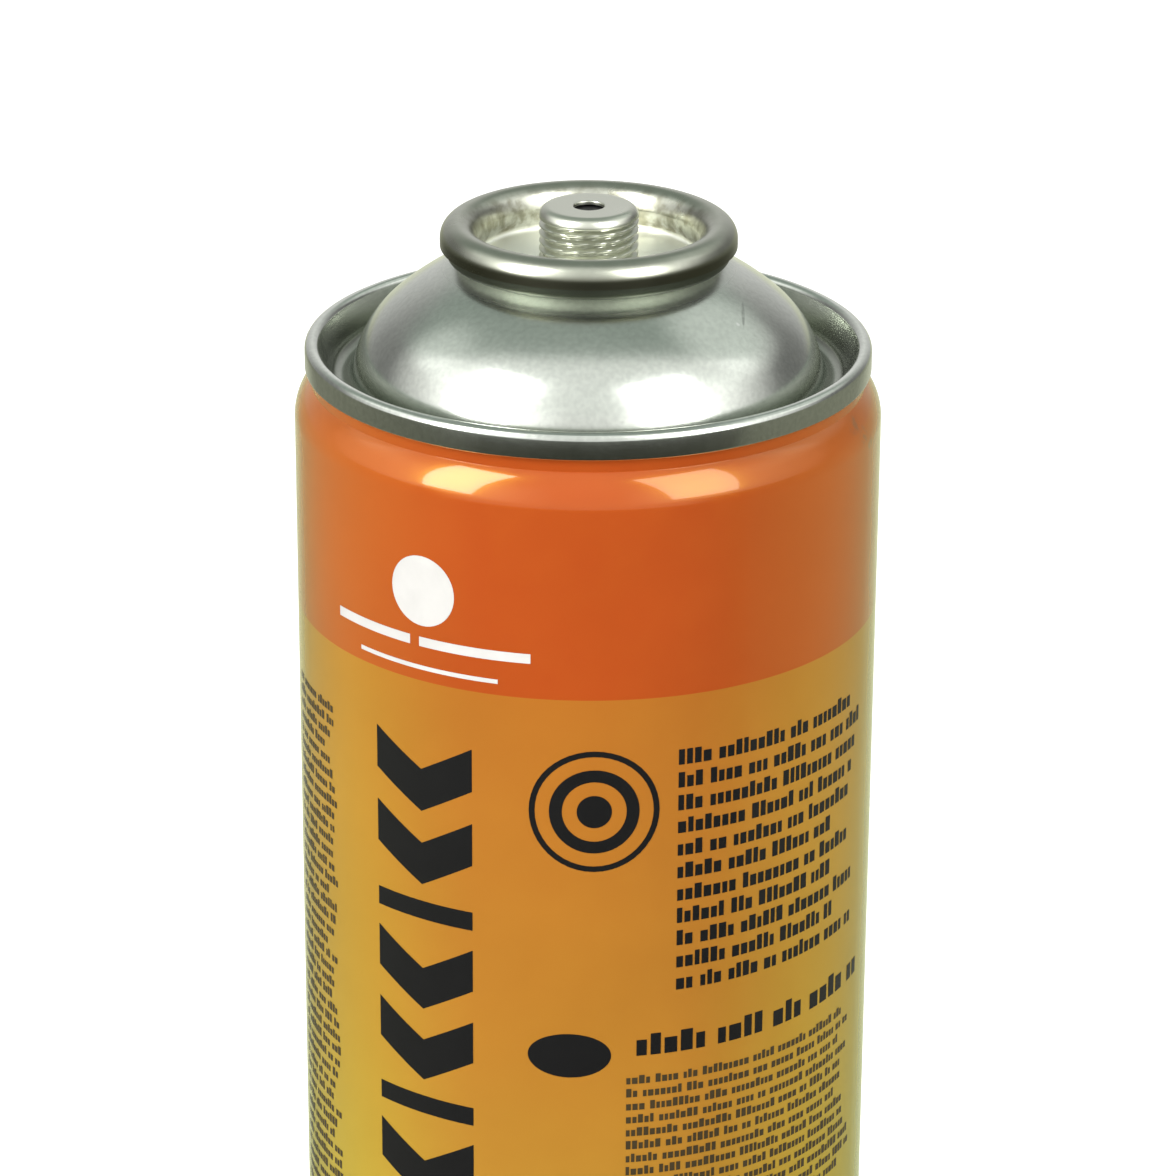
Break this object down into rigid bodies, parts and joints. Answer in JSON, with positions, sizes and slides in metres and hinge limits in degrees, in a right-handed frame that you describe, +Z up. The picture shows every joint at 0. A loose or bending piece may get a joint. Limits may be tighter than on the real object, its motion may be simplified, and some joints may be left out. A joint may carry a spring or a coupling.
{
  "type": "fuel canister",
  "caption": "Tall round screw-on gas cartridge: a sealed tinplate can with a domed top, and a crimped valve cup with a threaded turret.",
  "frame": {"origin": "middle of the ring that the can stands on, under its base seam", "axes": "+Z up along the can's axis, -Y towards the front of the print"},
  "size_m": [0.065, 0.065, 0.2562],
  "materials": {
    "printed_tinplate": "glossy lacquered print, orange over amber, on tinplate",
    "bare_tinplate": "bright tinplate with a faint yellow-green cast",
    "seal_rubber": "matt black rubber",
    "housing_plastic": "natural acetal"
  },
  "bodies": {
    "root": {"can": "printed_tinplate", "valve_cup": "bare_tinplate", "valve_seal": "seal_rubber", "valve_housing": "housing_plastic"}
  },
  "joints": []
}
